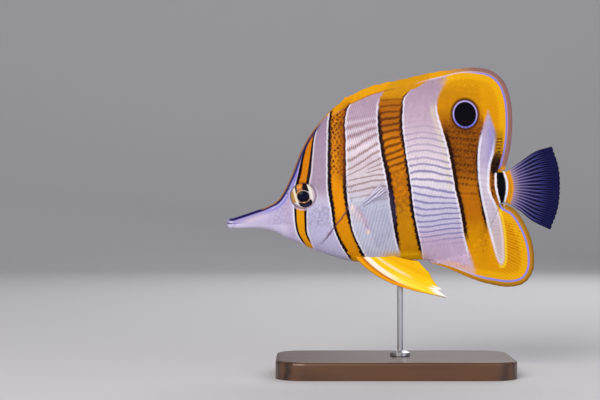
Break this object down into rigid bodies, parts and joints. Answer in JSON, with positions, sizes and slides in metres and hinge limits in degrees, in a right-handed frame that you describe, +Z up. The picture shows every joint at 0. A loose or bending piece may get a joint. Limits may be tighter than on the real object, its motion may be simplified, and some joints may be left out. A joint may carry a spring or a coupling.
{
  "type": "copperband butterflyfish model",
  "caption": "Life-size copperband butterflyfish with long snout, banded flanks and raised fins, held on a flat display base by a short rod.",
  "frame": {"origin": "middle of the underside of the stand's base, below the middle of the fish's length", "axes": "+Z up; the fish faces -X and its left flank faces -Y"},
  "size_m": [0.1668, 0.066, 0.1533],
  "materials": {
    "silver_skin": "pearly scaled skin with copper bands",
    "yellow_fin": "orange-yellow fin skin",
    "clear_fin": "thin, nearly clear fin membrane with pale rays",
    "eye_gloss": "glossy eye",
    "stained_wood": "dark stained and oiled",
    "brushed_steel": "fine brushed"
  },
  "bodies": {
    "root": {"upper_jaw": "silver_skin", "lower_jaw": "silver_skin", "snout": "silver_skin", "head": "silver_skin", "gill_cover_left": "silver_skin", "gill_cover_right": "silver_skin", "eye_left": "eye_gloss", "eye_right": "eye_gloss", "trunk": "silver_skin", "tail_stalk": "silver_skin", "dorsal_fin_spiny": "yellow_fin", "dorsal_fin_soft": "yellow_fin", "anal_fin_spiny": "yellow_fin", "anal_fin_soft": "yellow_fin", "caudal_fin": "clear_fin", "pectoral_fin_left": "clear_fin", "pectoral_fin_right": "clear_fin", "pelvic_fin_left": "yellow_fin", "pelvic_fin_right": "yellow_fin", "stand_base": "stained_wood", "stand_collar": "brushed_steel", "stand_rod": "brushed_steel"}
  },
  "joints": []
}
